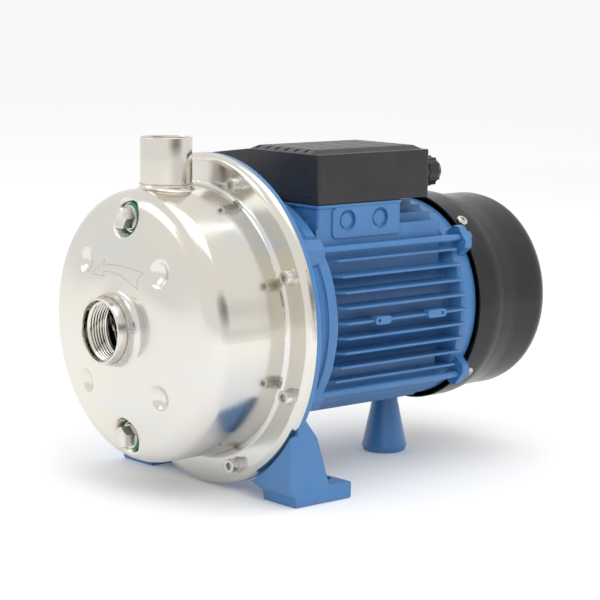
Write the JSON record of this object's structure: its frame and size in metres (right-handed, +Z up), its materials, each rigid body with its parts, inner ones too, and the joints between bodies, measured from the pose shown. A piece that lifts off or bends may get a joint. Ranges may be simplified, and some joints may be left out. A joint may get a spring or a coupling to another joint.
{
  "type": "centrifugal water pump",
  "caption": "Close-coupled electric centrifugal pump with a pressed stainless casing, painted bracket with feet, finned motor, terminal box and fan cover.",
  "frame": {"origin": "on the floor, midway between the two front foot bolt holes", "axes": "+Y along the shaft towards the motor fan, +Z up along the discharge port, +X to the right seen from the suction port"},
  "size_m": [0.236, 0.3712, 0.2495],
  "materials": {
    "stainless": "polished",
    "zinc_steel": "zinc plated",
    "blue_paint": "satin enamel",
    "blue_paint_aluminium": "satin enamel",
    "black_cowl": "satin black",
    "black_plastic": "fine texture",
    "grey_plastic": "moulded",
    "capacitor_can": "smooth",
    "green_rubber": "smooth",
    "black_rubber": "smooth",
    "carbon": "lapped",
    "seal_ceramic": "lapped",
    "bearing_steel": "ground",
    "machined_steel": "turned",
    "core_steel": "laminated",
    "cast_aluminium": "as cast",
    "copper": "enamelled wire",
    "brass": "machined"
  },
  "bodies": {
    "pump": {"bearing_wave_washer": "zinc_steel", "box_gasket": "black_rubber", "box_screws": "zinc_steel", "bracket": "blue_paint", "capacitor": "capacitor_can", "casing_cover": "stainless", "casing_gasket": "black_rubber", "discharge_socket": "stainless", "fan_cover": "black_cowl", "fan_cover_screws": "zinc_steel", "flange_screws": "zinc_steel", "flange_washers": "zinc_steel", "front_bearing_outer_ring": "bearing_steel", "gland_body": "black_plastic", "gland_locknut": "black_plastic", "gland_nut": "black_plastic", "gland_seal": "black_rubber", "lid_screws": "zinc_steel", "motor_frame": "blue_paint_aluminium", "pump_casing": "stainless", "rear_bearing_outer_ring": "bearing_steel", "rear_foot": "blue_paint", "rear_foot_screw": "zinc_steel", "rear_shield": "blue_paint_aluminium", "seal_seat": "seal_ceramic", "seal_seat_cup": "black_rubber", "stator_core": "core_steel", "stator_windings": "copper", "suction_socket": "stainless", "terminal_board": "grey_plastic", "terminal_box": "black_plastic", "terminal_lid": "black_plastic", "terminal_links": "brass", "terminal_nuts": "zinc_steel", "terminal_studs": "brass", "tie_bolts": "blue_paint", "wear_ring": "stainless"},
    "rotor": {"shaft": "machined_steel", "rotor_core": "core_steel", "rotor_end_rings": "cast_aluminium", "impeller": "stainless", "impeller_key": "stainless", "impeller_washer": "stainless", "impeller_nut": "stainless", "seal_carbon_ring": "carbon", "seal_bellows": "black_rubber", "seal_spring": "stainless", "slinger": "black_rubber", "front_bearing_inner_ring": "bearing_steel", "rear_bearing_inner_ring": "bearing_steel", "cooling_fan": "black_plastic", "fan_clip": "zinc_steel"},
    "front_ball_set": {"front_bearing_balls": "bearing_steel", "front_bearing_cage": "bearing_steel"},
    "rear_ball_set": {"rear_bearing_balls": "bearing_steel", "rear_bearing_cage": "bearing_steel"},
    "fill_seal": {"fill_plug_ring": "green_rubber"},
    "fill_plug": {"fill_plug": "zinc_steel"},
    "drain_seal": {"drain_plug_ring": "green_rubber"},
    "drain_plug": {"drain_plug": "zinc_steel"}
  },
  "joints": [
    {"name": "rotor_spin", "type": "hinge", "parent": "pump", "child": "rotor", "pos_m": [0, 0, 0.119], "axis": [0, 1, 0], "continuous": true},
    {"name": "front_balls_spin", "type": "hinge", "parent": "pump", "child": "front_ball_set", "pos_m": [0, -0.006, 0.119], "axis": [0, 1, 0], "continuous": true},
    {"name": "rear_balls_spin", "type": "hinge", "parent": "pump", "child": "rear_ball_set", "pos_m": [0, 0.143, 0.119], "axis": [0, 1, 0], "continuous": true},
    {"name": "fill_plug_travel", "type": "slide", "parent": "pump", "child": "fill_seal", "axis": [0, -1, 0], "range_m": [0, 0.00802]},
    {"name": "fill_plug_turn", "type": "hinge", "parent": "fill_seal", "child": "fill_plug", "pos_m": [0, -0.104, 0.1955], "axis": [0, -1, 0], "range_deg": [0, 2160]},
    {"name": "drain_plug_travel", "type": "slide", "parent": "pump", "child": "drain_seal", "axis": [0, -1, 0], "range_m": [0, 0.00802]},
    {"name": "drain_plug_turn", "type": "hinge", "parent": "drain_seal", "child": "drain_plug", "pos_m": [0, -0.104, 0.0425], "axis": [0, -1, 0], "range_deg": [0, 2160]}
  ],
  "couplings": [
    {"joint": "front_balls_spin", "follows": "rotor_spin", "ratio": 0.3827},
    {"joint": "rear_balls_spin", "follows": "rotor_spin", "ratio": 0.3832},
    {"joint": "fill_plug_turn", "follows": "fill_plug_travel", "rad_per_m": 4699.5},
    {"joint": "drain_plug_turn", "follows": "drain_plug_travel", "rad_per_m": 4699.5}
  ]
}
